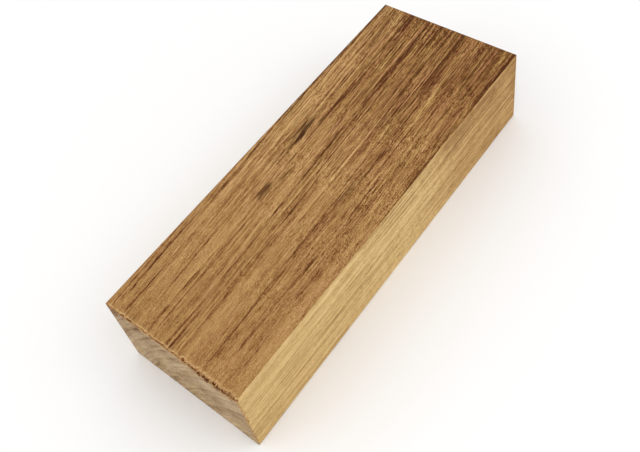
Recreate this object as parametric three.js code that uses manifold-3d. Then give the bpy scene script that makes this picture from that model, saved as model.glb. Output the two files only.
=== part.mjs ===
// A squared blank of ovangkol, a West African hardwood, cut for turning or for a knife handle: one solid
// piece of wood, resting on a wide face. Millimetres. +Y runs along the grain, away from the end where the
// saw broke out; +X is across the blank, +Z is up. The origin is the middle of the underside.

import * as THREE from "three";
import { mergeVertices } from "three/addons/utils/BufferGeometryUtils.js";
import Module from "manifold-3d";

const wasm = await Module();
wasm.setup();

// The blank as it left the saw
const length = 140;
const width = 50.8;
const nearThickness = 30.65; // sawn slightly wedge-shaped along its length
const farThickness = 28.95;
const nearEndSkew = THREE.MathUtils.degToRad(2); // the near end is out of square in plan
const nearEndLean = THREE.MathUtils.degToRad(1); // and leans out towards the underside

// The long arrises are eased by handling, the end arrises hardly at all
const arrisRadius = 0.4;
const arrisSegments = 3;
const endBevel = 0.15;

// Wood broken out where the saw left the near end. Each run lies along one arris, from and to being shares
// of its length. Of each break, span is its size along the arris, reach back along the grain and drop down
// or across the end.
const brokenRuns = [
  {
    arris: "top", from: 0, to: 1, count: 40, seed: 11,
    span: [0.6, 1.7], reach: [0.5, 1], drop: [0.6, 1.6],
  },
  {
    arris: "top", from: 0.64, to: 0.96, count: 12, seed: 12,
    span: [0.9, 1.6], reach: [0.8, 1.2], drop: [1.8, 3.6],
  },
  {
    arris: "right", from: 0.3, to: 1, count: 10, seed: 21,
    span: [0.5, 1.3], reach: [0.3, 0.7], drop: [0.3, 0.7],
  },
  {
    arris: "left", from: 0.1, to: 0.9, count: 5, seed: 22,
    span: [0.5, 1.2], reach: [0.3, 0.6], drop: [0.3, 0.6],
  },
];

const wood = new THREE.MeshStandardMaterial({ color: 0xa97c4b, roughness: 0.72, metalness: 0 });

// Numbers from 0 to 1 that are the same in every run
function seededDraw(seed) {
  let state = seed;
  return () => {
    state = (state + 0x6d2b79f5) | 0;
    let mixed = Math.imul(state ^ (state >>> 15), 1 | state);
    mixed = (mixed + Math.imul(mixed ^ (mixed >>> 7), 61 | mixed)) ^ mixed;
    return ((mixed ^ (mixed >>> 14)) >>> 0) / 2 ** 32;
  };
}

function toSolid(geometry) {
  const bare = geometry.clone();
  bare.deleteAttribute("normal");
  bare.deleteAttribute("uv");
  const merged = mergeVertices(bare, 1e-4);
  return new wasm.Manifold(
    new wasm.Mesh({
      numProp: 3,
      vertProperties: merged.attributes.position.array,
      triVerts: new Uint32Array(merged.index.array),
    }),
  );
}

function toGeometry(solid) {
  const mesh = solid.getMesh();
  const geometry = new THREE.BufferGeometry();
  geometry.setAttribute("position", new THREE.BufferAttribute(new Float32Array(mesh.vertProperties), 3));
  geometry.setIndex(new THREE.BufferAttribute(new Uint32Array(mesh.triVerts), 1));
  geometry.computeVertexNormals();
  return geometry;
}

// Where a point of a true box, x across, y along and up from 0 to 1, lies on the blank as sawn
function asSawn(x, y, up) {
  const skew = -x * Math.tan(nearEndSkew);
  const lean = (up - 1) * nearThickness * Math.tan(nearEndLean);
  const sawnY = y + (skew + lean) * (0.5 - y / length);
  const thickness = THREE.MathUtils.lerp(nearThickness, farThickness, 0.5 + sawnY / length);
  return new THREE.Vector3(x, sawnY, up * thickness);
}

// The section with eased corners, drawn along the grain and then sawn out of square
function sawnBody() {
  const halfWidth = width / 2;
  const height = (nearThickness + farThickness) / 2;
  const r = arrisRadius;
  const section = new THREE.Shape()
    .moveTo(-halfWidth + r, 0)
    .lineTo(halfWidth - r, 0)
    .absarc(halfWidth - r, r, r, -Math.PI / 2, 0)
    .lineTo(halfWidth, height - r)
    .absarc(halfWidth - r, height - r, r, 0, Math.PI / 2)
    .lineTo(-halfWidth + r, height)
    .absarc(-halfWidth + r, height - r, r, Math.PI / 2, Math.PI)
    .lineTo(-halfWidth, r)
    .absarc(-halfWidth + r, r, r, Math.PI, 1.5 * Math.PI);
  const geometry = new THREE.ExtrudeGeometry(section, {
    depth: length - 2 * endBevel,
    curveSegments: arrisSegments,
    bevelThickness: endBevel,
    bevelSize: endBevel,
    bevelOffset: -endBevel,
    bevelSegments: 1,
  });
  geometry.rotateX(Math.PI / 2);
  geometry.translate(0, length / 2 - endBevel, 0);
  const place = geometry.attributes.position;
  for (let i = 0; i < place.count; i++) {
    place.setXYZ(i, ...asSawn(place.getX(i), place.getY(i), place.getZ(i) / height).toArray());
  }
  return geometry;
}

// The two ends of an arris of the near end
function arrisEnds(arris) {
  const half = width / 2;
  const near = -length / 2;
  const ends = {
    top: [[-half, near, 1], [half, near, 1]],
    left: [[-half, near, 1], [-half, near, 0]],
    right: [[half, near, 1], [half, near, 0]],
  };
  return ends[arris].map((corner) => asSawn(...corner));
}

// Faceted breaks one after another along an arris, each with its own size and turn
function brokenOut({ arris, from, to, count, span, reach, drop, seed }) {
  const draw = seededDraw(seed);
  const between = ([low, high]) => low + (high - low) * draw();
  const [start, end] = arrisEnds(arris);
  const alongArris = end.clone().sub(start).normalize();
  const grain = new THREE.Vector3(0, 1, 0);
  const across = alongArris.clone().cross(grain).normalize();
  const turned = new THREE.Matrix4().makeBasis(alongArris, grain, across);
  return Array.from({ length: count }, (_, i) => {
    const share = from + ((to - from) * (i + 0.2 + 0.6 * draw())) / count;
    const piece = new THREE.IcosahedronGeometry(1, 0);
    piece.rotateX(draw() * Math.PI);
    piece.scale(between(span), between(reach), between(drop));
    piece.applyMatrix4(turned);
    piece.translate(...start.clone().lerp(end, share).toArray());
    return toSolid(piece);
  });
}

function ovangkolBlank() {
  const whole = toSolid(sawnBody());
  const broken = wasm.Manifold.union(brokenRuns.flatMap(brokenOut));
  const geometry = toGeometry(whole.subtract(broken));
  geometry.computeBoundingBox();
  const middle = geometry.boundingBox.getCenter(new THREE.Vector3());
  geometry.translate(-middle.x, -middle.y, -geometry.boundingBox.min.z);
  const mesh = new THREE.Mesh(geometry, wood);
  mesh.name = "ovangkol_blank";
  return mesh;
}

const part = new THREE.Group();
part.add(ovangkolBlank());

export default part;
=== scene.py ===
from math import pi, radians, sqrt, tan

import bpy
from mathutils import Matrix, Vector


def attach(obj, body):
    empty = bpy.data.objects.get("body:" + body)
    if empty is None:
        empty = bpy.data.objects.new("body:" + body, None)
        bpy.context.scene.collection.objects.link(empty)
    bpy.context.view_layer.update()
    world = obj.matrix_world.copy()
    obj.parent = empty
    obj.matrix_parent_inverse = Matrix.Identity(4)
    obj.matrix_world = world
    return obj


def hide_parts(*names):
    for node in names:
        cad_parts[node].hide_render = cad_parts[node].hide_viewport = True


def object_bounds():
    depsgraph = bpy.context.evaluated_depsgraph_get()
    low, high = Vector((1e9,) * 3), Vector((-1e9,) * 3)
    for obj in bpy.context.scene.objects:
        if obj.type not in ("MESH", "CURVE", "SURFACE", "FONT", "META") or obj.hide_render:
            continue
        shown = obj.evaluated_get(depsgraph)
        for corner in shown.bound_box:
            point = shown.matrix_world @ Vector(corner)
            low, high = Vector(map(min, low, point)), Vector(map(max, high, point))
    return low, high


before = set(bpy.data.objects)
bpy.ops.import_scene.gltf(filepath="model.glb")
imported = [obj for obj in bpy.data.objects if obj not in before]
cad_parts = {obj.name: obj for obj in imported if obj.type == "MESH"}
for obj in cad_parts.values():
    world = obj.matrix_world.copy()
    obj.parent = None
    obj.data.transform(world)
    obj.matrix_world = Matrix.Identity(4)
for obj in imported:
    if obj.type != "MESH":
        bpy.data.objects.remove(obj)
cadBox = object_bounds()
mm = 0.001


# Node helpers

def addNode(tree, kind, inputs=None, **settings):
    node = tree.nodes.new(kind)
    for name, value in settings.items():
        setattr(node, name, value)
    for name, value in (inputs or {}).items():
        if isinstance(value, bpy.types.NodeSocket):
            tree.links.new(value, node.inputs[name])
        else:
            node.inputs[name].default_value = value
    return node


def calc(tree, operation, *values):
    return addNode(tree, "ShaderNodeMath", dict(enumerate(values)), operation=operation).outputs[0]


def plus(tree, first, second):
    return calc(tree, "ADD", first, second)


def minus(tree, first, second):
    return calc(tree, "SUBTRACT", first, second)


def times(tree, first, second):
    return calc(tree, "MULTIPLY", first, second)


def over(tree, first, second):
    return calc(tree, "DIVIDE", first, second)


def vectorCalc(tree, operation, *values):
    return addNode(tree, "ShaderNodeVectorMath", dict(enumerate(values)), operation=operation).outputs[0]


def scaled(tree, vector, amount):
    return addNode(tree, "ShaderNodeVectorMath", {0: vector, "Scale": amount}, operation="SCALE").outputs[0]


def remap(tree, value, fromLow, fromHigh, toLow=0, toHigh=1, smooth=False):
    kind = "SMOOTHSTEP" if smooth else "LINEAR"
    inputs = {"Value": value, "From Min": fromLow, "From Max": fromHigh, "To Min": toLow, "To Max": toHigh}
    return addNode(tree, "ShaderNodeMapRange", inputs, interpolation_type=kind).outputs[0]


def combine(tree, x, y, z):
    return addNode(tree, "ShaderNodeCombineXYZ", {0: x, 1: y, 2: z}).outputs[0]


def split(tree, vector):
    return addNode(tree, "ShaderNodeSeparateXYZ", {0: vector}).outputs


def noise(tree, vector, scale, detail=1, output=0):
    inputs = {"Vector": vector, "Scale": scale, "Detail": detail}
    return addNode(tree, "ShaderNodeTexNoise", inputs).outputs[output]


def addUp(tree, *weighted):
    total = 0.0
    for value, weight in weighted:
        total = calc(tree, "MULTIPLY_ADD", value, weight, total)
    return total


def newGroup(name, kind, inputs, outputs):
    tree = bpy.data.node_groups.new(name, kind)
    for label, (socketType, value) in inputs.items():
        socket = tree.interface.new_socket(label, in_out="INPUT", socket_type="NodeSocket" + socketType)
        if value is not None:
            socket.default_value = value
    for label, socketType in outputs.items():
        tree.interface.new_socket(label, in_out="OUTPUT", socket_type="NodeSocket" + socketType)
    return tree, tree.nodes.new("NodeGroupInput").outputs, tree.nodes.new("NodeGroupOutput").inputs


def place(tree, group, inputs):
    kind = group.bl_idname.replace("Tree", "Group")
    return addNode(tree, kind, inputs, node_tree=group).outputs


# The shape

# The blank as sawn, in millimetres: out of square and slightly wedge-shaped, like the solid it stands for
blank = {
    "length": 140,
    "width": 50.8,
    "nearThickness": 30.65,
    "farThickness": 28.95,
    "nearEndSkew": 2,  # degrees, in plan
    "nearEndLean": 1,  # degrees, out towards the underside
    "longArris": 0.36,  # radius of the long edges, worn by handling
    "endArris": 0.14,  # radius of the end edges
    "alongStep": 1.5,  # spacing of the mesh along the grain
    "acrossStep": 0.38,
    "upStep": 0.46,
}


# Distances from 0 to length, close together near both ends
def stepped(firstSteps, lastSteps, length, step):
    start = list(firstSteps)
    end = [length - value for value in reversed(lastSteps)]
    count = round((end[0] - start[-1]) / step)
    middle = [start[-1] + (end[0] - start[-1]) * i / count for i in range(1, count)]
    return start + middle + end


# Where a point of a true box, x across, y along and up from 0 to 1, lies on the blank as sawn
def asSawn(x, y, up):
    skew = -x * tan(radians(blank["nearEndSkew"]))
    lean = (up - 1) * blank["nearThickness"] * tan(radians(blank["nearEndLean"]))
    sawnY = y + (skew + lean) * (0.5 - y / blank["length"])
    slope = (blank["farThickness"] - blank["nearThickness"]) / blank["length"]
    thickness = (blank["nearThickness"] + blank["farThickness"]) / 2 + slope * sawnY
    return x, sawnY, up * thickness


def easedBlank():
    length, width = blank["length"], blank["width"]
    height = (blank["nearThickness"] + blank["farThickness"]) / 2
    arris, endArris = blank["longArris"], blank["endArris"]
    sideSteps = [0, arris / 2, arris, 0.6, 0.85]
    nearSteps = [0, endArris / 2, endArris, 0.3, 0.45, 0.6, 0.78, 0.96, 1.2, 1.6, 2.2, 3.2, 4.6]
    farSteps = [0, endArris / 2, endArris, 0.35, 0.7, 1.2, 2.2]
    bottomSteps = [0, arris / 2, arris]
    topSteps = [0, arris / 2, arris, 0.6, 0.82, 1.05, 1.3, 1.55, 1.8, 2.1, 2.5, 2.9, 3.3, 3.7, 4.1, 4.5]
    lines = [
        stepped(sideSteps, sideSteps, width, blank["acrossStep"]),
        stepped(nearSteps, farSteps, length, blank["alongStep"]),
        stepped(bottomSteps, topSteps, height, blank["upStep"]),
    ]
    size = (width, length, height)
    last = [len(line) - 1 for line in lines]
    radius = {(0, 1): endArris, (1, 2): endArris, (0, 2): arris}
    spots, found, fromEdges = [], {}, []

    # the number of a lattice point, moved in where an edge is rounded
    def spot(index):
        if index in found:
            return found[index]
        at = [lines[axis][index[axis]] for axis in range(3)]
        inward = [min(value, size[axis] - value) for axis, value in enumerate(at)]
        turned = [1 if value < size[axis] / 2 else -1 for axis, value in enumerate(at)]
        fromEdges.append((at[1], size[2] - at[2], size[0] - at[0], at[0]))
        moved = list(at)
        for (a, b), r in radius.items():
            if inward[a] == 0 and inward[b] == 0:
                moved[a] += turned[a] * r * (1 - sqrt(0.5))
                moved[b] += turned[b] * r * (1 - sqrt(0.5))
            for flat, other in ((a, b), (b, a)):
                if inward[flat] == 0 and 0 < inward[other] < r:
                    moved[flat] += turned[flat] * (r - sqrt(r * r - (r - inward[other]) ** 2))
        found[index] = len(spots)
        x, y, z = asSawn(moved[0] - width / 2, moved[1] - length / 2, moved[2] / height)
        spots.append((x, y, z))
        return found[index]

    faces, finish = [], []
    for axis, (u, v) in ((0, (1, 2)), (1, (2, 0)), (2, (0, 1))):
        for end in (0, 1):
            for i in range(last[u]):
                for j in range(last[v]):
                    corners = [(i, j), (i + 1, j), (i + 1, j + 1), (i, j + 1)]
                    quad = []
                    for s, t in corners if end else reversed(corners):
                        index = [0, 0, 0]
                        index[axis], index[u], index[v] = last[axis] * end, s, t
                        quad.append(spot(tuple(index)))
                    faces.append(quad)
                    finish.append(axis)
    shift = cadBox[1].y / mm - length / 2  # the far end is where the solid's is
    mesh = bpy.data.meshes.new("ovangkol_blank_wood")
    mesh.from_pydata([(x * mm, (y + shift) * mm, z * mm) for x, y, z in spots], [], faces)
    for name, column in (("fromNear", 0), ("belowTop", 1), ("fromRight", 2), ("fromLeft", 3)):
        attribute = mesh.attributes.new(name, "FLOAT", "POINT")
        attribute.data.foreach_set("value", [row[column] for row in fromEdges])
    attribute = mesh.attributes.new("side", "INT", "FACE")
    attribute.data.foreach_set("value", finish)
    mesh.shade_smooth()
    piece = bpy.data.objects.new("ovangkol_wood", mesh)
    bpy.context.scene.collection.objects.link(piece)
    print("blank:", len(spots), "points,", len(faces), "faces")
    return piece


# Where the grain runs: the fibres lean to the left as they go back, more so on the left, and dip a little
grainRun = {
    "lean": 0.035,  # millimetres across for each millimetre along
    "leanChange": -0.0008,  # for each millimetre to the right
    "dip": 0.018,
    # how often the fibres wander in each direction, the noise detail, and how far they wander
    "wanders": [((0.055, 0.016, 0.055), 1, (3.2, 0, 0.9)), ((0.3, 0.04, 0.3), 2, (0.6, 0, 0.2))],
}


def grainPositionGroup():
    tree, given, result = newGroup(
        "Grain Position",
        "ShaderNodeTree",
        {"Position": ("Vector", None), "Wander": ("Float", 0.7)},
        {"Grain": "Vector", "Plain": "Vector"},
    )
    plain = scaled(tree, given["Position"], 1 / mm)
    axes = split(tree, plain)
    lean = calc(tree, "MULTIPLY_ADD", axes["X"], grainRun["leanChange"], grainRun["lean"])
    across = calc(tree, "MULTIPLY_ADD", axes["Y"], lean, axes["X"])
    up = calc(tree, "MULTIPLY_ADD", axes["Y"], grainRun["dip"], axes["Z"])
    straight = combine(tree, across, axes["Y"], up)
    wander = (0, 0, 0)
    for frequency, detail, reach in grainRun["wanders"]:
        cloud = noise(tree, vectorCalc(tree, "MULTIPLY", straight, frequency), 1, detail, "Color")
        shift = vectorCalc(tree, "SUBTRACT", cloud, (0.5, 0.5, 0.5))
        wander = vectorCalc(tree, "MULTIPLY_ADD", shift, reach, wander)
    wander = scaled(tree, wander, given["Wander"])
    tree.links.new(vectorCalc(tree, "ADD", straight, wander), result["Grain"])
    tree.links.new(plain, result["Plain"])
    return tree


# Noise drawn out along the fibres: Width and Length are the size of one streak in millimetres
def streakGroup():
    tree, given, result = newGroup(
        "Streaks",
        "ShaderNodeTree",
        {
            "Grain": ("Vector", None),
            "Width": ("Float", 2.0),
            "Length": ("Float", 60.0),
            "Detail": ("Float", 2.0),
            "Seed": ("Float", 0.0),
        },
        {"Streak": "Float"},
    )
    perWidth = over(tree, 1, given["Width"])
    perLength = over(tree, 1, given["Length"])
    stretched = vectorCalc(tree, "MULTIPLY", given["Grain"], combine(tree, perWidth, perLength, perWidth))
    axes = split(tree, stretched)
    # so that no two fibres start level
    staggered = addUp(tree, (axes["X"], 0.37), (axes["Z"], 0.23), (axes["Y"], 1.0))
    settings = {
        "Vector": combine(tree, axes["X"], staggered, axes["Z"]),
        "W": given["Seed"],
        "Scale": 1,
        "Detail": given["Detail"],
        "Roughness": 0.55,
    }
    cloud = addNode(tree, "ShaderNodeTexNoise", settings, noise_dimensions="4D").outputs[0]
    tree.links.new(remap(tree, cloud, 0.28, 0.72, -1, 1), result["Streak"])
    return tree


streaks = streakGroup()


# Light and dark streaks from 1 to -1, with width and length in millimetres
def streak(tree, grain, width, length, seed, detail=1):
    sizes = {"Width": width, "Length": length, "Seed": seed, "Detail": detail}
    return place(tree, streaks, {"Grain": grain, **sizes})["Streak"]


# Open pores cut along their length: short dark grooves, each with a painted highlight on the lip beside it
def poreGroup():
    tree, given, result = newGroup(
        "Pore Lines",
        "ShaderNodeTree",
        {
            "Grain": ("Vector", None),
            "Width": ("Float", 0.3),
            "Length": ("Float", 4.0),
            "Amount": ("Float", 0.5),
            "Seed": ("Float", 0.0),
        },
        {"Pores": "Float", "Lip Highlights": "Float"},
    )
    beside = vectorCalc(tree, "ADD", given["Grain"], (0.22, 0.4, 0.22))  # millimetres
    least = minus(tree, 0.9, given["Amount"])
    most = plus(tree, least, 0.45)
    for name, grain in (("Pores", given["Grain"]), ("Lip Highlights", beside)):
        lines = streak(tree, grain, given["Width"], given["Length"], given["Seed"])
        tree.links.new(remap(tree, lines, least, most, smooth=True), result[name])
    return tree


pores = poreGroup()


def poreLines(tree, grain, width, length, amount, seed):
    sizes = {"Width": width, "Length": length, "Amount": amount, "Seed": seed}
    return place(tree, pores, {"Grain": grain, **sizes})


# Growth rings about a pith that lay below the blank's right side, in millimetres
pith = {"right": 98, "below": 78}


def ringGroup():
    tree, given, result = newGroup(
        "Growth Rings",
        "ShaderNodeTree",
        {"Grain": ("Vector", None), "Spacing": ("Float", 4.0), "Seed": ("Float", 0.0)},
        {"Band": "Float", "Latewood": "Float", "Outward": "Float"},
    )
    axes = split(tree, given["Grain"])
    right = minus(tree, axes["X"], pith["right"])
    up = plus(tree, axes["Z"], pith["below"])
    outward = vectorCalc(tree, "LENGTH", combine(tree, right, 0, up)).node.outputs["Value"]
    count = over(tree, outward, given["Spacing"])
    settings = {"W": count, "Scale": 0.55, "Detail": 1}
    uneven = addNode(tree, "ShaderNodeTexNoise", settings, noise_dimensions="1D").outputs[0]
    count = plus(tree, calc(tree, "MULTIPLY_ADD", uneven, 1.6, count), given["Seed"])
    year = calc(tree, "FRACT", count)
    rise = remap(tree, year, 0, 0.82, smooth=True)
    fall = remap(tree, year, 0.9, 1, 1, 0, smooth=True)
    ringNumber = {"W": calc(tree, "FLOOR", count)}
    each = addNode(tree, "ShaderNodeTexWhiteNoise", ringNumber, noise_dimensions="1D").outputs[0]
    strength = remap(tree, each, 0, 1, 0.35, 1)
    band = times(tree, times(tree, rise, fall), strength)
    latewood = remap(tree, year, 0.7, 0.86, smooth=True)
    tree.links.new(band, result["Band"])
    tree.links.new(times(tree, times(tree, latewood, fall), strength), result["Latewood"])
    tree.links.new(outward, result["Outward"])
    return tree


# One long mark in the wood, drawn out along its own lean and frayed by the fibres
def markGroup():
    tree, given, result = newGroup(
        "Wood Mark",
        "ShaderNodeTree",
        {
            "Plain": ("Vector", None),
            "Fray": ("Float", 0.0),
            "Middle": ("Vector", None),
            "Length": ("Float", 20.0),
            "Width": ("Float", 2.0),
            "Depth": ("Float", 7.0),
            "Lean": ("Float", -0.03),
            "Softness": ("Float", 0.9),
            "Amount": ("Float", 0.5),
            "Sum": ("Float", 0.0),
        },
        {"Sum": "Float"},
    )
    here = split(tree, given["Plain"])
    middle = split(tree, given["Middle"])
    across, along, up = (minus(tree, here[axis], middle[axis]) for axis in "XYZ")
    sideways = minus(tree, across, times(tree, along, given["Lean"]))
    x = over(tree, sideways, times(tree, given["Width"], 0.5))
    y = over(tree, along, times(tree, given["Length"], 0.5))
    z = over(tree, up, given["Depth"])
    square = calc(tree, "MULTIPLY_ADD", x, x, calc(tree, "MULTIPLY_ADD", y, y, times(tree, z, z)))
    away = calc(tree, "SQRT", square)
    frayed = calc(tree, "MULTIPLY_ADD", given["Fray"], 0.55, away)
    start = minus(tree, 1.15, given["Softness"])
    inside = remap(tree, frayed, start, 1.15, 1, 0, smooth=True)
    tree.links.new(calc(tree, "MULTIPLY_ADD", inside, given["Amount"], given["Sum"]), result["Sum"])
    return tree


grainPosition = grainPositionGroup()
rings = ringGroup()
mark = markGroup()
print("shader groups made")

# Marks on the upper face. at: millimetres from the near end and from the left edge. size: length and width.
longLines = [
    dict(at=(20, 2.8), size=(48, 1.1), amount=0.45),
    dict(at=(28, 2.6), size=(24, 1.4), amount=0.3),
    dict(at=(5, 3.4), size=(14, 1), amount=0.4),
    dict(at=(11, 1.7), size=(18, 0.8), amount=0.3),
    dict(at=(66, 1.7), size=(16, 0.9), amount=0.45),
    dict(at=(9, 6.6), size=(26, 1), amount=0.5),
    dict(at=(32, 5.9), size=(26, 0.8), amount=0.3, lean=-0.02),
    dict(at=(23, 11.9), size=(58, 0.8), amount=0.42, lean=-0.045),
    dict(at=(15, 18.1), size=(30, 0.7), amount=0.42, lean=-0.02),
    dict(at=(39, 17), size=(18, 0.7), amount=0.38, lean=-0.01),
    dict(at=(21, 20.6), size=(38, 0.7), amount=0.3, lean=-0.02),
    dict(at=(5, 25.2), size=(16, 0.9), amount=0.7, lean=-0.02),
    dict(at=(8, 23.8), size=(26, 1.1), amount=0.4, lean=0),
    dict(at=(36, 23.2), size=(28, 0.9), amount=0.45, lean=-0.045),
    dict(at=(31, 27.6), size=(40, 1.9), amount=0.3),
    dict(at=(41, 27.2), size=(15, 1), amount=0.5),
    dict(at=(60, 25.9), size=(38, 1.5), amount=0.36),
    dict(at=(79, 25.4), size=(18, 1.5), amount=0.42),
    dict(at=(72, 21.2), size=(42, 0.85), amount=0.75, lean=-0.055),
    dict(at=(53, 2.3), size=(22, 1.1), amount=0.5),
    dict(at=(104, 0.4), size=(90, 1.7), amount=0.5, lean=0),
    dict(at=(71, 14.1), size=(16, 0.7), amount=0.65, lean=0.02),
    dict(at=(88, 12.6), size=(18, 0.9), amount=0.45, lean=0),
    dict(at=(101, 12.8), size=(22, 1.9), amount=0.45, lean=0.02),
    dict(at=(120, 15.6), size=(21, 0.8), amount=0.6, lean=-0.06),
    dict(at=(87, 50.2), size=(52, 1.2), amount=0.3, lean=0),
    dict(at=(13, 37), size=(22, 0.9), amount=0.3, lean=0),
    dict(at=(34, 41.8), size=(20, 1.5), amount=0.34, lean=0),
    dict(at=(68, 41.8), size=(18, 1.5), amount=0.36, lean=-0.01),
]
dashes = [
    dict(at=(67, 4.3), size=(10, 0.6), amount=0.35),
    dict(at=(9, 16.8), size=(4, 1.2), amount=0.45),
    dict(at=(23.5, 39), size=(3.5, 0.9), amount=0.55),
    dict(at=(9, 46.2), size=(4, 1.3), amount=0.3),
    dict(at=(35, 36.9), size=(7, 1), amount=0.32, lean=0.02),
    dict(at=(60, 40.6), size=(4, 1.8), amount=0.45),
    dict(at=(73.5, 29.3), size=(11, 0.6), amount=0.4),
    dict(at=(42, 42), size=(5, 1.4), amount=0.4),
    dict(at=(42, 22.8), size=(10, 1), amount=0.5),
    dict(at=(52, 22.2), size=(10, 0.9), amount=0.6),
    dict(at=(19.5, 16.2), size=(8, 1.5), amount=0.6),
    dict(at=(71, 6.4), size=(13, 0.7), amount=0.45),
    dict(at=(56, 10), size=(9, 0.7), amount=0.5),
    dict(at=(124, 11.8), size=(10, 1.8), amount=0.45),
    dict(at=(99.5, 20), size=(5, 0.9), amount=0.7),
    dict(at=(111.5, 19.2), size=(7, 0.8), amount=0.7),
    dict(at=(95, 37.3), size=(10, 0.9), amount=0.55),
    dict(at=(124, 42), size=(9, 0.9), amount=0.55),
    dict(at=(15, 41.8), size=(15, 1.3), amount=0.32, lean=0),
    dict(at=(27, 36.7), size=(13, 1.1), amount=0.3),
    dict(at=(44.5, 35.8), size=(8, 1), amount=0.45),
    dict(at=(38, 45.7), size=(15, 1.2), amount=0.38, lean=0),
    dict(at=(51.5, 35.6), size=(10, 1.2), amount=0.42),
    dict(at=(66, 34.9), size=(8, 0.9), amount=0.6),
    dict(at=(84.5, 36.8), size=(10, 1.4), amount=0.5),
]
brownPatches = [
    dict(at=(101, 9.7), size=(24, 2.4), amount=0.25),
    dict(at=(67, 11), size=(14, 2), amount=0.25),
    dict(at=(6, 16.2), size=(14, 2.8), amount=0.28, lean=0),
    dict(at=(136, 11), size=(16, 2.8), amount=0.5),
    dict(at=(128, 19.8), size=(15, 2), amount=0.3),
    dict(at=(118, 33.5), size=(15, 5.4), amount=0.3),
    dict(at=(132, 32), size=(22, 1.5), amount=0.25),
    dict(at=(135, 34.4), size=(18, 1.2), amount=0.25),
    dict(at=(133, 50.1), size=(24, 1.6), amount=0.6, lean=0),
    dict(at=(45, 40), size=(86, 11), amount=0.08),
    dict(at=(138, 20), size=(26, 24), amount=0.16),
    dict(at=(0, 14), size=(26, 34), amount=0.1),
    dict(at=(60, 1), size=(170, 7), amount=0.14, lean=0),
    dict(at=(108, 36), size=(60, 12), amount=0.1),
    dict(at=(16, 25.5), size=(80, 11), amount=0.09),
    dict(at=(130, 25), size=(80, 12), amount=0.3),
    dict(at=(137, 13), size=(44, 10), amount=0.32),
    dict(at=(135, 4), size=(44, 9), amount=0.2, lean=0),
    dict(at=(32, 4.5), size=(70, 8), amount=0.17, lean=0),
    dict(at=(62, 14), size=(40, 7), amount=0.12),
    dict(at=(8, 36), size=(30, 12), amount=0.14, lean=0),
]
paleAreas = [
    dict(at=(55, 19), size=(32, 3.4), amount=-0.12),
    dict(at=(18, 31.4), size=(62, 5.8), amount=-0.16, lean=-0.01),
    dict(at=(62, 30.4), size=(52, 6.2), amount=-0.12, lean=-0.01),
    dict(at=(34, 48.6), size=(84, 4.6), amount=-0.24, lean=0),
    dict(at=(100, 5.2), size=(92, 6.6), amount=-0.13, lean=0),
    dict(at=(61, 6.5), size=(16, 5.6), amount=-0.14),
    dict(at=(22, 9), size=(28, 4.6), amount=-0.13),
    dict(at=(30, 14), size=(36, 3.2), amount=-0.14),
    dict(at=(98, 45.5), size=(50, 10), amount=-0.16, lean=0),
    dict(at=(69, 46.5), size=(40, 7.5), amount=-0.16, lean=0),
]
smudges = [
    dict(at=(78.5, 10.8), size=(6.5, 2), amount=1.6),
    dict(at=(80, 9), size=(16, 0.9), amount=0.85, lean=0),
    dict(at=(83.5, 10), size=(9, 2.4), amount=0.6),
    dict(at=(79.5, 10.1), size=(13, 3.2), amount=0.5),
    dict(at=(73, 10.8), size=(8, 0.8), amount=0.5, lean=0),
]
purples = [
    dict(at=(55.5, 13.9), size=(8, 1.6), amount=2.6),
    dict(at=(112.5, 11.5), size=(5, 1.6), amount=0.5),
    dict(at=(137, 11), size=(10, 2.6), amount=0.35),
    dict(at=(55, 14.8), size=(10, 3.4), amount=0.6),
    dict(at=(63, 16), size=(10, 1.1), amount=0.95, lean=0),
    dict(at=(66, 10.3), size=(10, 1.4), amount=0.45),
    dict(at=(68, 36.2), size=(13, 2.8), amount=0.35),
    dict(at=(128, 19.6), size=(14, 2.2), amount=0.45),
    dict(at=(134, 50.1), size=(20, 1.3), amount=0.5, lean=0),
    dict(at=(5, 25.9), size=(16, 2.2), amount=0.35, lean=-0.02),
]
nearEndY = cadBox[0].y / mm + 1.4  # the near end at mid-width, in millimetres


def addMarks(tree, plain, fray, marks, height=30):
    total = 0.0
    for one in marks:
        (along, across), (length, width) = one["at"], one["size"]
        total = place(tree, mark, {
            "Plain": plain,
            "Fray": fray,
            "Middle": (across - blank["width"] / 2, along + nearEndY, height),
            "Length": length,
            "Width": width,
            "Lean": one.get("lean", -0.03),
            "Amount": one["amount"],
            "Sum": total,
        })["Sum"]
    return total


def ramp(tree, value, stops):
    node = addNode(tree, "ShaderNodeValToRGB", {"Fac": value})
    band = node.color_ramp
    while len(band.elements) < len(stops):
        band.elements.new(0.5)
    for element, (position, colour) in zip(band.elements, stops):
        element.position = position
        element.color = (*colour, 1)
    return node.outputs["Color"]


def mix(tree, share, first, second, blend="MIX"):
    node = addNode(tree, "ShaderNodeMix", data_type="RGBA", blend_type=blend)
    for index, value in ((0, share), (6, first), (7, second)):
        if isinstance(value, bpy.types.NodeSocket):
            tree.links.new(value, node.inputs[index])
        else:
            node.inputs[index].default_value = (*value, 1) if isinstance(value, tuple) else value
    return node.outputs[2]


def woodMaterial(name):
    material = bpy.data.materials.new(name)
    material.use_nodes = True
    tree = material.node_tree
    tree.nodes.clear()
    output = tree.nodes.new("ShaderNodeOutputMaterial")
    shader = tree.nodes.new("ShaderNodeBsdfPrincipled")
    shader.inputs["Specular IOR Level"].default_value = 0.08
    tree.links.new(shader.outputs["BSDF"], output.inputs["Surface"])
    position = tree.nodes.new("ShaderNodeTexCoord").outputs["Object"]
    return material, tree, shader, position


def finishWood(tree, shader, colour, height, strength, distance):
    tree.links.new(colour, shader.inputs["Base Color"])
    node = addNode(tree, "ShaderNodeBump", {"Height": height, "Strength": strength, "Distance": distance})
    tree.links.new(node.outputs["Normal"], shader.inputs["Normal"])


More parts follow.
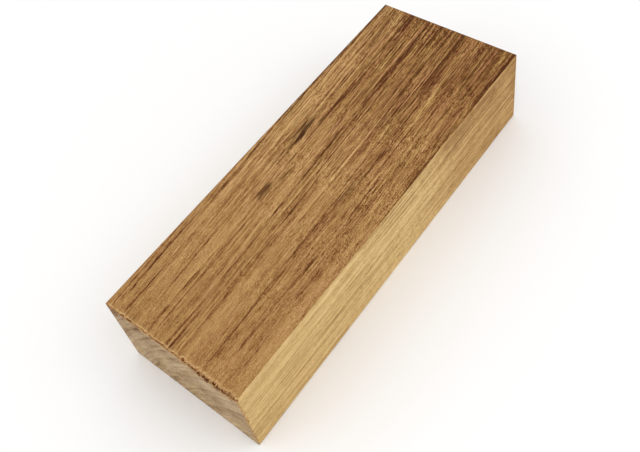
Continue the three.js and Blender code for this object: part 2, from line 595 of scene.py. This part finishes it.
# The planed wide faces: golden brown with darker streaks, redder towards the far end
wideWood = {
    "darkest": (0.075, 0.022, 0.004),
    "dark": (0.205, 0.082, 0.024),
    "middle": (0.345, 0.184, 0.060),
    "light": (0.46, 0.268, 0.096),
    "lightest": (0.62, 0.40, 0.165),
    "farTint": (0.985, 0.95, 0.93),
    "oliveTint": (0.94, 1.0, 0.83),
    "purpleTint": (1.0, 0.895, 1.04),
    # pale colour of the torn crest at the near end: partly paler frayed fibre ends, partly a painted
    # highlight
    "rimHighlight": (0.66, 0.43, 0.19),
    "smudge": (0.042, 0.011, 0.001),
    "purple": (0.080, 0.025, 0.006),
    "tone": 0.59,  # from darkest at 0 to lightest at 1, before the grain is added
    "ringSpacing": 4.4,
    "roughness": 0.62,
}


def wideFaceWood():
    material, tree, shader, position = woodMaterial("wide_face_wood")
    grain = place(tree, grainPosition, {"Position": position, "Wander": 0.55})
    plain, fibres = grain["Plain"], grain["Grain"]
    axes = split(tree, plain)
    broad = streak(tree, fibres, 9, 130, 0)
    bands = streak(tree, fibres, 3, 90, 3)
    narrow = streak(tree, fibres, 1, 50, 7)
    fine = streak(tree, fibres, 0.34, 32, 11)
    short = streak(tree, fibres, 0.26, 3.6, 17, detail=0)
    speck = streak(tree, plain, 0.26, 0.4, 5, detail=0)
    strand = remap(tree, fine, -0.4, 0.4, -1, 1, smooth=True)
    dash = remap(tree, short, -0.4, 0.4, -1, 1, smooth=True)
    mottle = streak(tree, fibres, 1.3, 2, 9, detail=2)
    wavy = vectorCalc(tree, "ADD", fibres, combine(tree, times(tree, mottle, 0.5), 0, 0))
    curl = remap(tree, streak(tree, wavy, 0.75, 4.2, 23), 0.05, 0.9, smooth=True)
    hairline = remap(tree, streak(tree, fibres, 0.45, 44, 13), 0.25, 0.9, smooth=True)
    silk = remap(tree, streak(tree, fibres, 0.28, 40, 19, detail=0), 0.2, 0.9, smooth=True)
    cut = poreLines(tree, fibres, 0.3, 11, 0.42, 2)
    brief = poreLines(tree, fibres, 0.25, 3.4, 0.45, 31)
    band = place(tree, rings, {"Grain": fibres, "Spacing": wideWood["ringSpacing"]})["Band"]
    fray = addUp(tree, (bands, 0.2), (narrow, 0.4), (fine, 0.45), (short, 0.3), (mottle, 0.15))
    dark = addMarks(tree, plain, fray, longLines + dashes + brownPatches + paleAreas)
    dark = times(tree, dark, remap(tree, fine, -0.8, 0.8, 1.15, 0.7))
    rough = remap(tree, axes["X"], 1, 12, 0.25, 1, smooth=True)
    curly = times(tree, rough, remap(tree, axes["Y"], -10, 50, 1, 0.3))
    hue = remap(tree, streak(tree, fibres, 1.5, 26, 53), -0.6, 0.6, 0, 1)
    chatter = streak(tree, plain, 14, 2.2, 57)
    farHalf = remap(tree, axes["Y"], -28, 78, smooth=True)
    awayFromLeft = remap(tree, axes["X"], -20, -11, 0.15, 1, smooth=True)
    farShade = times(tree, farHalf, awayFromLeft)
    longer = addUp(tree, (hairline, -0.2), (silk, 0.19), (strand, 0.12))
    # the pore lips lighten the tone beside each pore: painted highlights
    longer = addUp(tree, (cut["Pores"], -0.28), (cut["Lip Highlights"], 0.13), (longer, 1))
    shorter = addUp(tree, (dash, 0.09), (speck, 0.25), (brief["Pores"], -0.3), (brief["Lip Highlights"], 0.13))
    longer = times(tree, longer, remap(tree, axes["Y"], -60, 20, 0.45, 1.6))
    longer = times(tree, longer, remap(tree, curly, 0, 1, 1, 0.6))
    shorter = times(tree, shorter, remap(tree, axes["Y"], -60, 20, 0.55, 1.35))
    tone = addUp(
        tree,
        (broad, 0.08),
        (times(tree, bands, remap(tree, axes["Y"], -40, 20, 0.07, 0.11)), 1.0),
        (times(tree, narrow, remap(tree, curly, 0, 1, 0.075, 0.04)), 1.0),
        (mottle, 0.05),
        (chatter, 0.025),
        (band, -0.05),
        (farShade, -0.27),
        (dark, -0.56),
        (times(tree, curl, curly), -0.15),
        (longer, 1.0),
        (shorter, 1.0),
    )
    tone = plus(tree, tone, wideWood["tone"])
    colour = ramp(tree, tone, [
        (0.0, wideWood["darkest"]),
        (0.25, wideWood["dark"]),
        (0.5, wideWood["middle"]),
        (0.72, wideWood["light"]),
        (1.0, wideWood["lightest"]),
    ])
    colour = mix(tree, farShade, colour, wideWood["farTint"], "MULTIPLY")
    olive = mix(tree, farShade, (1.0, 1.0, 1.0), wideWood["oliveTint"])
    tint = mix(tree, hue, olive, wideWood["purpleTint"])
    colour = mix(tree, remap(tree, farShade, 0, 1, 0.45, 0.85), colour, tint, "MULTIPLY")
    # the frayed fibre ends along the torn crest, paler partly from their own colour and partly as a painted
    # highlight
    rimHighlight = addNode(tree, "ShaderNodeAttribute", attribute_name="frayedRimHighlight").outputs["Fac"]
    rimHighlight = times(tree, rimHighlight, remap(tree, addUp(tree, (short, 0.5), (narrow, 0.7)), -0.6, 0.5, 0.25, 0.9))
    colour = mix(tree, rimHighlight, colour, wideWood["rimHighlight"])
    strands = addUp(tree, (narrow, 0.6), (fine, 0.7), (short, 0.3))
    for name, marks, high, low, most in (
        ("smudge", smudges, 1.3, 0.35, 0.92),
        ("purple", purples, 1.2, 0.45, 0.85),
    ):
        share = addMarks(tree, plain, fray, marks)
        share = times(tree, share, remap(tree, strands, -0.7, 0.7, high, low))
        colour = mix(tree, calc(tree, "MINIMUM", share, most), colour, wideWood[name])
    dull = addUp(tree, (cut["Pores"], 0.15), (narrow, 0.05))
    tree.links.new(plus(tree, dull, wideWood["roughness"]), shader.inputs["Roughness"])
    height = addUp(tree, (cut["Pores"], -1.0), (cut["Lip Highlights"], 0.3), (fine, 0.3), (narrow, 0.3))
    finishWood(tree, shader, colour, height, 0.6, 0.06 * mm)
    return material


# The sawn narrow faces: pale straw with fine long lines, browner towards the far end. They are paler than
# the wide faces partly from the wood's own colour and partly as painted light, as if the side faced the
# lamp
sideWood = {
    "dark": (0.30, 0.165, 0.058),
    "middle": (0.51, 0.33, 0.130),
    "light": (0.64, 0.44, 0.185),
    "lightest": (0.76, 0.56, 0.27),
    "farTint": (0.72, 0.60, 0.51),
    "tone": 0.59,
    "ringSpacing": 4.4,
    "upperEdge": 30.2,  # height that the marks are measured down from
    "roughness": 0.68,
}
sideMarks = [  # at: millimetres from the near end and down from the upper edge
    dict(at=(45, 9.8), size=(110, 1), amount=0.4, lean=0.01),
    dict(at=(25, 7.2), size=(46, 0.8), amount=0.25, lean=0),
    dict(at=(30, 15.7), size=(70, 1.1), amount=0.42, lean=0.02),
    dict(at=(40, 20.7), size=(90, 1), amount=0.4, lean=0.02),
    dict(at=(39.5, 16.8), size=(5, 0.9), amount=0.5),
    dict(at=(95, 18.7), size=(46, 1.1), amount=0.45, lean=0.025),
    dict(at=(100, 25), size=(60, 1), amount=0.35, lean=0.02),
    dict(at=(116, 7.4), size=(50, 1.1), amount=0.5, lean=0.05),
    dict(at=(99.5, 8.2), size=(9, 1.2), amount=0.5, lean=0.05),
    dict(at=(113, 7.3), size=(6, 1), amount=0.6, lean=0),
    dict(at=(106, 3.6), size=(13, 1.2), amount=0.5, lean=0),
    dict(at=(112, 13.7), size=(13, 1.1), amount=0.5, lean=-0.04),
    dict(at=(116.5, 14), size=(6, 1), amount=0.9, lean=0),
    dict(at=(110, 5), size=(44, 15), amount=0.22, lean=0),
    dict(at=(128, 5), size=(34, 10), amount=0.14, lean=0),
    dict(at=(140, 14), size=(12, 30), amount=0.5, lean=0),
    dict(at=(12, 20), size=(36, 9), amount=0.14, lean=0),
    dict(at=(4, 25), size=(34, 16), amount=0.2, lean=0),
    dict(at=(40, 3), size=(50, 6), amount=-0.15, lean=0),
    dict(at=(72, 10.8), size=(26, 1), amount=-0.3, lean=0),
]


def sideFaceWood():
    material, tree, shader, position = woodMaterial("side_face_wood")
    grain = place(tree, grainPosition, {"Position": position, "Wander": 0.3})
    plain, fibres = grain["Plain"], grain["Grain"]
    axes = split(tree, plain)
    # the side laid flat, with across running down from its upper edge
    down = minus(tree, sideWood["upperEdge"] - blank["width"] / 2, axes["Z"])
    turned = combine(tree, down, axes["Y"], axes["X"])
    bands = streak(tree, fibres, 3.2, 90, 21, detail=2)
    narrow = streak(tree, fibres, 0.9, 60, 23)
    fine = streak(tree, fibres, 0.4, 26, 25)
    short = streak(tree, fibres, 0.34, 3, 33)
    speck = streak(tree, fibres, 0.26, 0.9, 27, detail=0)
    cloud = streak(tree, fibres, 7, 12, 35, detail=2)
    chatter = streak(tree, turned, 14, 2.6, 37)
    cut = poreLines(tree, fibres, 0.3, 12, 0.4, 29)
    band = place(tree, rings, {"Grain": fibres, "Spacing": sideWood["ringSpacing"]})["Band"]
    fray = addUp(tree, (bands, 0.3), (narrow, 0.4), (fine, 0.4))
    dark = addMarks(tree, turned, fray, sideMarks, height=blank["width"] / 2)
    toFar = remap(tree, axes["Y"], 0, 60, smooth=True)
    lines = addUp(tree, (narrow, 0.2), (fine, 0.27))
    lines = times(tree, lines, remap(tree, axes["Z"], 3, 18, 0.8, 1.15))
    lines = times(tree, lines, remap(tree, axes["Y"], -65, -10, 0.5, 1.15))
    # the pore lips lighten the tone beside each pore: painted highlights
    grooves = addUp(tree, (cut["Pores"], -0.34), (cut["Lip Highlights"], 0.14))
    grooves = times(tree, grooves, remap(tree, axes["Y"], -65, -10, 0.3, 1.1))
    mottled = addUp(tree, (short, 0.19), (speck, 0.24), (cloud, 0.1), (chatter, 0.07))
    mottled = times(tree, mottled, remap(tree, axes["Y"], -50, 30, 0.5, 1.0))
    tone = addUp(
        tree,
        (bands, 0.1),
        (lines, 1.0),
        (mottled, 1.0),
        (band, -0.1),
        (dark, -0.4),
        (grooves, 1.0),
    )
    tone = plus(tree, tone, sideWood["tone"])
    colour = ramp(tree, tone, [
        (0.0, sideWood["dark"]),
        (0.45, sideWood["middle"]),
        (0.66, sideWood["light"]),
        (1.0, sideWood["lightest"]),
    ])
    colour = mix(tree, times(tree, toFar, 0.85), colour, sideWood["farTint"], "MULTIPLY")
    shader.inputs["Roughness"].default_value = sideWood["roughness"]
    height = addUp(tree, (cut["Pores"], -1.0), (fine, 0.4), (narrow, 0.3))
    finishWood(tree, shader, colour, height, 0.6, 0.06 * mm)
    return material


# The sawn ends: dull grey-brown growth rings, with pores and rays cut across
endWood = {
    "dark": (0.17, 0.095, 0.045),
    "middle": (0.40, 0.275, 0.145),
    "light": (0.58, 0.44, 0.25),
    "ringLine": (0.72, 0.62, 0.60),
    "dull": (0.90, 0.87, 0.98),
    "tone": -1.36,
    "ringSpacing": 4.2,
    "roughness": 0.8,
}


def endGrainWood():
    material, tree, shader, position = woodMaterial("end_grain_wood")
    grain = place(tree, grainPosition, {"Position": position, "Wander": 0.25})
    plain, fibres = grain["Plain"], grain["Grain"]
    ring = place(tree, rings, {"Grain": fibres, "Spacing": endWood["ringSpacing"]})
    axes = split(tree, plain)
    flat = combine(tree, axes["X"], 0, axes["Z"])
    holes = addNode(tree, "ShaderNodeTexVoronoi", {"Vector": flat, "Scale": 1.35, "Randomness": 1.0})
    hole = remap(tree, holes.outputs["Distance"], 0.1, 0.3, 1, 0, smooth=True)
    up, right = plus(tree, axes["Z"], pith["below"]), minus(tree, axes["X"], pith["right"])
    angle = calc(tree, "ARCTAN2", up, right)
    ringwise = times(tree, angle, 135)

    def drawnOut(acrossRings, alongRings, scale, detail):
        x = times(tree, ring["Outward"], acrossRings)
        return noise(tree, combine(tree, x, 0, times(tree, ringwise, alongRings)), scale, detail)

    ray = remap(tree, drawnOut(0.14, 2.4, 1, 1), 0.5, 0.68, smooth=True)
    patches = noise(tree, flat, 0.11, 2)
    grit = noise(tree, flat, 1.7, 2)
    wisps = drawnOut(0.9, 0.1, 1, 3)
    layers = drawnOut(0.28, 0.035, 1, 2)
    tone = addUp(
        tree,
        (ring["Band"], -0.22),
        (hole, -0.3),
        (ray, 0.1),
        (patches, 0.85),
        (grit, 1.15),
        (wisps, 1.1),
        (layers, 0.9),
    )
    # painted shade: the upper left of the end is darkened, as under the torn upper edge
    corner = times(tree, remap(tree, axes["X"], -22, 0, 1, 0), remap(tree, axes["Z"], 16, 29, 0, 1))
    tone = plus(tree, calc(tree, "MULTIPLY_ADD", corner, -0.3, tone), endWood["tone"])
    colour = ramp(tree, tone, [(0.0, endWood["dark"]), (0.5, endWood["middle"]), (1.0, endWood["light"])])
    dull = addUp(tree, (layers, 0.6), (noise(tree, flat, 0.3, 2), 0.4))
    dull = remap(tree, dull, 0.42, 0.58, smooth=True)
    colour = mix(tree, times(tree, dull, 0.8), colour, endWood["dull"], "MULTIPLY")
    colour = mix(tree, times(tree, ring["Latewood"], 0.5), colour, endWood["ringLine"], "MULTIPLY")
    shader.inputs["Roughness"].default_value = endWood["roughness"]
    score = combine(tree, times(tree, axes["X"], 0.08), 0, times(tree, axes["Z"], 3.5))
    scores = noise(tree, score, 1, 2)
    height = addUp(tree, (hole, -1.0), (scores, 0.8), (grit, 0.6))
    finishWood(tree, shader, colour, height, 0.7, 0.08 * mm)
    return material


# Torn fibres: reddish brown, darkened deeper down in the breaks as painted shade, and pale as a painted
# highlight where fibres stand up and catch the light
tornFibre = {
    # painted shade colour for the deepest parts of the breaks
    "pitShade": (0.200, 0.074, 0.028),
    "middle": (0.36, 0.150, 0.050),
    "tip": (0.70, 0.45, 0.20),
    "tone": 0.85,
    "roughness": 0.85,
}


def tornWood():
    material, tree, shader, position = woodMaterial("torn_wood")
    grain = place(tree, grainPosition, {"Position": position, "Wander": 0.3})
    depth = addNode(tree, "ShaderNodeAttribute", attribute_name="tornDepth").outputs["Fac"]
    fibre = streak(tree, grain["Grain"], 0.3, 1.4, 41, detail=2)
    patch = streak(tree, grain["Plain"], 1.6, 1.6, 43, detail=2)
    # painted shade: the deeper into the break, the darker the colour
    pitShade = times(tree, depth, remap(tree, patch, -0.4, 0.5, 0.15, 1.7))
    tone = plus(tree, addUp(tree, (pitShade, -0.85), (fibre, 0.3)), tornFibre["tone"])
    stops = [(0.1, tornFibre["pitShade"]), (0.5, tornFibre["middle"]), (0.95, tornFibre["tip"])]
    colour = ramp(tree, tone, stops)
    shader.inputs["Roughness"].default_value = tornFibre["roughness"]
    finishWood(tree, shader, colour, fibre, 0.8, 0.1 * mm)
    return material


wideMaterial = wideFaceWood()
sideMaterial = sideFaceWood()
endMaterial = endGrainWood()
tornMaterial = tornWood()
print("materials made")


# Geometry Nodes: the sawn surface and the torn edge

# What the saw and the planer did to the surface, in millimetres
sawing = {
    "fibreRelief": 0.035,
    "fibreWidth": 0.9,
    "planerRipple": 0.012,
    "planerPitch": 3.1,
    "sawScore": 0.045,
    "sawPitch": 1.15,
}

# The upper edge of the near end, where the fibres tore out instead of being cut
tearOut = {
    "reach": 1.1,
    "drop": 2.4,
    "worst": 9.5,  # where the fibres broke furthest down, from the right edge
    "worstDrop": 1.9,  # and how many times as far
    "sideReach": 0.9,
    "sideDrop": 0.6,
    "fibreCount": 560,
    "sideFibreCount": 220,
    "fibreLength": 0.95,
    "fibreThickness": 0.05,
    "seed": 4,
}


def named(tree, name, kind="FLOAT"):
    node = addNode(tree, "GeometryNodeInputNamedAttribute", {"Name": name}, data_type=kind)
    return node.outputs["Attribute"]


def store(tree, geometry, name, value, domain):
    inputs = {"Geometry": geometry, "Name": name, "Value": value}
    node = addNode(tree, "GeometryNodeStoreNamedAttribute", inputs, data_type="FLOAT", domain=domain)
    return node.outputs[0]


def finishWith(tree, geometry, chosen, material):
    inputs = {"Geometry": geometry, "Selection": chosen, "Material": material}
    return addNode(tree, "GeometryNodeSetMaterial", inputs).outputs[0]


# Turns the corner between two faces into the hollow left by a break. t runs from -1, where the break
# starts on one face, through 0 at the old edge, to 1 where it ends on the other.
def hollowGroup():
    tree, given, result = newGroup(
        "Broken Edge",
        "GeometryNodeTree",
        {"Back": ("Float", 0.0), "Down": ("Float", 0.0), "Reach": ("Float", 1.0), "Drop": ("Float", 1.0)},
        {"Back": "Float", "Down": "Float", "Inside": "Float"},
    )
    back = over(tree, given["Back"], given["Reach"])
    down = over(tree, given["Down"], given["Drop"])
    t = minus(tree, down, back)
    near = calc(tree, "LESS_THAN", calc(tree, "MAXIMUM", down, back), 1)
    angle = times(tree, plus(tree, t, 1), pi / 4)
    newBack = times(tree, calc(tree, "COSINE", angle), given["Reach"])
    newDown = times(tree, calc(tree, "SINE", angle), given["Drop"])
    moveBack = times(tree, minus(tree, newBack, given["Back"]), near)
    moveDown = times(tree, minus(tree, newDown, given["Down"]), near)
    depth = minus(tree, 1, calc(tree, "ABSOLUTE", t))
    tree.links.new(moveBack, result["Back"])
    tree.links.new(moveDown, result["Down"])
    tree.links.new(times(tree, depth, near), result["Inside"])
    return tree


# A size that jumps from one bundle of fibres to the next along an edge
def bundles(tree, distance, width, seed):
    cell = plus(tree, calc(tree, "FLOOR", over(tree, distance, width)), seed)
    return addNode(tree, "ShaderNodeTexWhiteNoise", {"W": cell}, noise_dimensions="1D").outputs[0]


def sawnSurfaceTree(hollow):
    numbers = {
        "Fibre Relief": sawing["fibreRelief"],
        "Fibre Width": sawing["fibreWidth"],
        "Planer Ripple": sawing["planerRipple"],
        "Planer Pitch": sawing["planerPitch"],
        "Saw Score": sawing["sawScore"],
        "Saw Pitch": sawing["sawPitch"],
        "Tear Reach": tearOut["reach"],
        "Tear Drop": tearOut["drop"],
        "Side Reach": tearOut["sideReach"],
        "Side Drop": tearOut["sideDrop"],
        "Seed": float(tearOut["seed"]),
    }
    inputs = {"Geometry": ("Geometry", None), **{name: ("Float", value) for name, value in numbers.items()}}
    tree, given, result = newGroup("Sawn Surface", "GeometryNodeTree", inputs, {"Geometry": "Geometry"})
    position = scaled(tree, tree.nodes.new("GeometryNodeInputPosition").outputs[0], 1 / mm)
    axes = split(tree, position)
    normal = tree.nodes.new("GeometryNodeInputNormal").outputs[0]
    facing = split(tree, normal)
    onEnd = calc(tree, "GREATER_THAN", calc(tree, "ABSOLUTE", facing["Y"]), 0.8)

    # relief of the long faces and the ends, always inwards
    perWidth = over(tree, 1, given["Fibre Width"])
    stretched = vectorCalc(tree, "MULTIPLY", position, combine(tree, perWidth, 0.045, perWidth))
    fibre = noise(tree, stretched, 1, 2)
    wave = calc(tree, "SINE", over(tree, times(tree, axes["Y"], 2 * pi), given["Planer Pitch"]))
    ripple = calc(tree, "MULTIPLY_ADD", wave, 0.5, 0.5)
    longRelief = addUp(tree, (fibre, given["Fibre Relief"]), (ripple, given["Planer Ripple"]))
    wobble = noise(tree, position, 0.12, 1)
    lines = calc(tree, "MULTIPLY_ADD", wobble, 4, calc(tree, "MULTIPLY_ADD", axes["X"], 0.16, axes["Z"]))
    scored = calc(tree, "PINGPONG", over(tree, lines, given["Saw Pitch"]), 0.5)
    endRelief = times(tree, plus(tree, scored, noise(tree, position, 1.1, 2)), given["Saw Score"])
    reliefs = {"Switch": onEnd, "False": longRelief, "True": endRelief}
    relief = addNode(tree, "GeometryNodeSwitch", reliefs, input_type="FLOAT").outputs[0]
    inward = scaled(tree, normal, times(tree, relief, -mm))

    # how far each bundle tore along the upper edge, more towards the right
    fromRight, fromNear = named(tree, "fromRight"), named(tree, "fromNear")
    belowTop = named(tree, "belowTop")
    coarse = bundles(tree, fromRight, 1.3, given["Seed"])
    slim = bundles(tree, fromRight, 0.37, plus(tree, given["Seed"], 50))
    waves = noise(tree, combine(tree, fromRight, 0, given["Seed"]), 0.16, 2)
    worse = remap(tree, fromRight, 4, 30, 1.1, 0.75)
    share = times(tree, addUp(tree, (coarse, 0.45), (slim, 0.4), (waves, 0.5)), worse)
    share = calc(tree, "MAXIMUM", minus(tree, share, 0.1), 0.25)
    share = times(tree, share, remap(tree, named(tree, "fromLeft"), 0, 1.6, 0.3, 1))
    reach = times(tree, share, given["Tear Reach"])
    ragged = remap(tree, noise(tree, position, 1.7, 2), 0.3, 0.7, 0.75, 1.25)
    drop = times(tree, times(tree, share, given["Tear Drop"]), ragged)
    fromWorst = calc(tree, "ABSOLUTE", minus(tree, fromRight, tearOut["worst"]))
    drop = times(tree, drop, remap(tree, fromWorst, 4.5, 9.5, tearOut["worstDrop"], 1, smooth=True))
    top = place(tree, hollow, {"Back": fromNear, "Down": belowTop, "Reach": reach, "Drop": drop})

    # small pale breaks all the way down the near right edge
    upright = bundles(tree, belowTop, 0.6, plus(tree, given["Seed"], 90))
    chosen = remap(tree, upright, 0.2, 1, 0.15, 1)
    sideReach = times(tree, chosen, given["Side Reach"])
    sideDrop = times(tree, chosen, given["Side Drop"])
    side = place(tree, hollow, {"Back": fromNear, "Down": fromRight, "Reach": sideReach, "Drop": sideDrop})
    moveY = times(tree, plus(tree, top["Back"], side["Back"]), mm)
    moveX = times(tree, side["Down"], -mm)
    moveZ = times(tree, top["Down"], -mm)
    broken = combine(tree, moveX, moveY, moveZ)
    offset = vectorCalc(tree, "ADD", inward, broken)
    inside = calc(tree, "MAXIMUM", top["Inside"], times(tree, side["Inside"], 0.2))
    # a thin band along the top of the torn near edge, carrying the painted highlight of the frayed crest
    behind = remap(tree, minus(tree, fromNear, reach), 0.1, 0.6, 1, 0)
    rimHighlight = times(tree, behind, calc(tree, "LESS_THAN", belowTop, 0.5))

    marked = given["Geometry"]
    for name, value in (("tornDepth", inside), ("frayedRimHighlight", rimHighlight)):
        marked = store(tree, marked, name, value, "POINT")
    moved = addNode(tree, "GeometryNodeSetPosition", {"Geometry": marked, "Offset": offset})
    geometry = addNode(tree, "GeometryNodeRealizeInstances", {"Geometry": moved.outputs[0]}).outputs[0]
    sideOf = named(tree, "side", "INT")
    for number, material in enumerate((sideMaterial, endMaterial, wideMaterial)):
        geometry = finishWith(tree, geometry, calc(tree, "COMPARE", sideOf, number, 0.1), material)
    torn = calc(tree, "GREATER_THAN", named(tree, "tornDepth"), 0.04)
    tree.links.new(finishWith(tree, geometry, torn, tornMaterial), result["Geometry"])
    return tree


def tornFibresTree():
    inputs = {
        "Geometry": ("Geometry", None),
        "Fibre Count": ("Int", tearOut["fibreCount"]),
        "Side Fibre Count": ("Int", tearOut["sideFibreCount"]),
        "Fibre Length": ("Float", tearOut["fibreLength"] * mm),
        "Fibre Thickness": ("Float", tearOut["fibreThickness"] * mm),
        "Seed": ("Int", tearOut["seed"]),
    }
    tree, given, result = newGroup("Torn Fibres", "GeometryNodeTree", inputs, {"Geometry": "Geometry"})
    shift = cadBox[1].y - blank["length"] * mm / 2
    halfWidth, near = blank["width"] / 2, -blank["length"] / 2

    def corner(x, up, back):
        x, y, z = asSawn(x, near, up)
        return x * mm, (y + back) * mm + shift, z * mm

    cone = {"Vertices": 5, "Side Segments": 2, "Radius Top": 0.25, "Radius Bottom": 1.0, "Depth": 1.0}
    sliver = addNode(tree, "GeometryNodeMeshCone", cone).outputs["Mesh"]
    sliver = store(tree, sliver, "sliver", 1.0, "FACE")
    thickness = given["Fibre Thickness"]
    size = combine(tree, thickness, thickness, given["Fibre Length"])
    root = tree.nodes.new("GeometryNodeInputPosition").outputs[0]
    normal = tree.nodes.new("GeometryNodeInputNormal").outputs[0]

    # how far a spot lies outside the wood, less than nothing inside it
    def outside(spot):
        wood = given["Geometry"]
        nearest = addNode(tree, "GeometryNodeProximity", {"Geometry": wood, "Sample Position": spot})
        sample = {"Mesh": wood, "Value": normal, "Sample Position": spot}
        facing = addNode(tree, "GeometryNodeSampleNearestSurface", sample, data_type="FLOAT_VECTOR")
        away = vectorCalc(tree, "SUBTRACT", spot, nearest.outputs["Position"])
        return vectorCalc(tree, "DOT_PRODUCT", away, facing.outputs[0]).node.outputs["Value"]

    def drawn(low, high, offset):
        node = addNode(tree, "FunctionNodeRandomValue", {"Min": low, "Max": high}, data_type="FLOAT_VECTOR")
        tree.links.new(plus(tree, given["Seed"], offset), node.inputs["Seed"])
        return node.outputs[0]

    # slivers leaning out of one edge, kept where they are rooted in the wood and stand clear of it
    def alongEdge(start, end, count, low, high, offset):
        line = addNode(tree, "GeometryNodeCurvePrimitiveLine", {"Start": start, "End": end}).outputs[0]
        points = addNode(tree, "GeometryNodeCurveToPoints", {"Curve": line, "Count": count}, mode="COUNT")
        shifted = {"Geometry": points.outputs[0], "Offset": drawn(low, high, offset)}
        roots = addNode(tree, "GeometryNodeSetPosition", shifted).outputs[0]
        tilt = drawn((radians(85), 0.0, -0.4), (radians(135), 0.0, 0.4), offset + 1)
        scale = vectorCalc(tree, "MULTIPLY", drawn((0.6, 0.5, 0.35), (3.2, 1.3, 1.05), offset + 2), size)
        upright = {"Vector": combine(tree, 0, 0, split(tree, scale)["Z"]), "Rotation": tilt}
        leaning = addNode(tree, "ShaderNodeVectorRotate", upright, rotation_type="EULER_XYZ").outputs[0]
        rooted = calc(tree, "LESS_THAN", outside(root), -0.01 * mm)
        standing = calc(tree, "GREATER_THAN", outside(vectorCalc(tree, "ADD", root, leaning)), 0.03 * mm)
        slivers = {
            "Points": roots,
            "Selection": times(tree, rooted, standing),
            "Instance": sliver,
            "Rotation": tilt,
            "Scale": scale,
        }
        return addNode(tree, "GeometryNodeInstanceOnPoints", slivers).outputs[0]

    # how far the roots spread from each edge, in metres
    fromTop = (-0.0002, 0.0005, -0.0011), (0.0002, 0.0011, -0.0002)
    fromSide = (-0.0007, 0.0005, -0.0004), (-0.0003, 0.0010, 0.0004)
    ends = corner(0.4 - halfWidth, 1, 0), corner(halfWidth - 0.6, 1, 0.25)
    topSlivers = alongEdge(*ends, given["Fibre Count"], *fromTop, 0)
    ends = corner(halfWidth, 0.97, 0.2), corner(halfWidth, 0.05, 0.5)
    sideSlivers = alongEdge(*ends, given["Side Fibre Count"], *fromSide, 7)
    joined = tree.nodes.new("GeometryNodeJoinGeometry")
    for geometry in (topSlivers, sideSlivers, given["Geometry"]):
        tree.links.new(geometry, joined.inputs[0])
    realised = addNode(tree, "GeometryNodeRealizeInstances", {"Geometry": joined.outputs[0]}).outputs[0]
    fibres = calc(tree, "GREATER_THAN", named(tree, "sliver"), 0.5)
    tree.links.new(finishWith(tree, realised, fibres, tornMaterial), result["Geometry"])
    return tree


def addModifier(piece, name, tree, values):
    modifier = piece.modifiers.new(name, "NODES")
    modifier.node_group = tree
    for item in tree.interface.items_tree:
        if item.item_type == "SOCKET" and item.in_out == "INPUT" and item.name in values:
            modifier[item.identifier] = values[item.name]


def settled(piece):
    bpy.context.view_layer.update()
    graph = bpy.context.evaluated_depsgraph_get()
    evaluated = piece.evaluated_get(graph)
    plain = bpy.data.meshes.new_from_object(evaluated, preserve_all_data_layers=True, depsgraph=graph)
    piece.modifiers.clear()
    piece.data = plain
    plain.name = piece.name
    for name in ("fromNear", "belowTop", "fromRight", "fromLeft", "side", "sliver"):
        plain.attributes.remove(plain.attributes[name])
    print(piece.name, "settled:", len(plain.polygons), "faces")


wood = easedBlank()
addModifier(wood, "sawn surface", sawnSurfaceTree(hollowGroup()), {"Tear Reach": tearOut["reach"]})
addModifier(wood, "torn fibres", tornFibresTree(), {"Fibre Count": tearOut["fibreCount"]})
settled(wood)
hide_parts("ovangkol_blank")
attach(wood, "root")


# The studio

studio = {
    "floor": (0.95, 0.95, 0.95),
    "floorHalf": 1.5,
    "floorGap": 0.00002,
    "sky": 0.92,
    "lights": {
        "key_light": ((0.55, 0.15, 0.7), 0.6, 1.5),  # place, size and power
        "fill_light": ((-0.4, -0.7, 0.5), 0.8, 0.8),
    },
}


def floor():
    half = studio["floorHalf"]
    mesh = bpy.data.meshes.new("floor")
    corners = [(-half, -half, 0), (half, -half, 0), (half, half, 0), (-half, half, 0)]
    mesh.from_pydata(corners, [], [(0, 1, 2, 3)])
    plane = bpy.data.objects.new("floor", mesh)
    plane.location.z = cadBox[0].z - studio["floorGap"]
    bpy.context.scene.collection.objects.link(plane)
    material = bpy.data.materials.new("floor_paper")
    material.use_nodes = True
    shader = material.node_tree.nodes["Principled BSDF"]
    shader.inputs["Base Color"].default_value = (*studio["floor"], 1)
    shader.inputs["Roughness"].default_value = 0.9
    shader.inputs["Specular IOR Level"].default_value = 0.1
    mesh.materials.append(material)


def lights():
    world = bpy.data.worlds.new("studio")
    world.use_nodes = True
    background = world.node_tree.nodes["Background"]
    background.inputs["Color"].default_value = (1, 1, 1, 1)
    background.inputs["Strength"].default_value = studio["sky"]
    bpy.context.scene.world = world
    for name, (spot, size, power) in studio["lights"].items():
        data = bpy.data.lights.new(name, "AREA")
        data.shape = "SQUARE"
        data.size = size
        data.energy = power
        light = bpy.data.objects.new(name, data)
        light.location = spot
        light.rotation_euler = (-Vector(spot)).to_track_quat("-Z", "Y").to_euler()
        bpy.context.scene.collection.objects.link(light)


# The camera, fitted to the seven visible corners
viewpoint = {
    "eye": (0.11999, -0.11008, 0.23334),
    "forward": (-0.43669, 0.3798, -0.81551),
    "up": (-0.42768, 0.70987, 0.55961),
    "lens": 48.983,
    "sensorWidth": 36,
}


def camera():
    data = bpy.data.cameras.new("camera")
    data.lens = viewpoint["lens"]
    data.sensor_width = viewpoint["sensorWidth"]
    data.clip_start = 0.01
    eye = bpy.data.objects.new("camera", data)
    bpy.context.scene.collection.objects.link(eye)
    forward, up = Vector(viewpoint["forward"]), Vector(viewpoint["up"])
    turn = Matrix((forward.cross(up), up, -forward)).transposed()
    eye.matrix_world = Matrix.Translation(viewpoint["eye"]) @ turn.to_4x4()
    bpy.context.scene.camera = eye


floor()
lights()
camera()
bpy.context.scene.view_settings.view_transform = "Standard"
print("studio set")
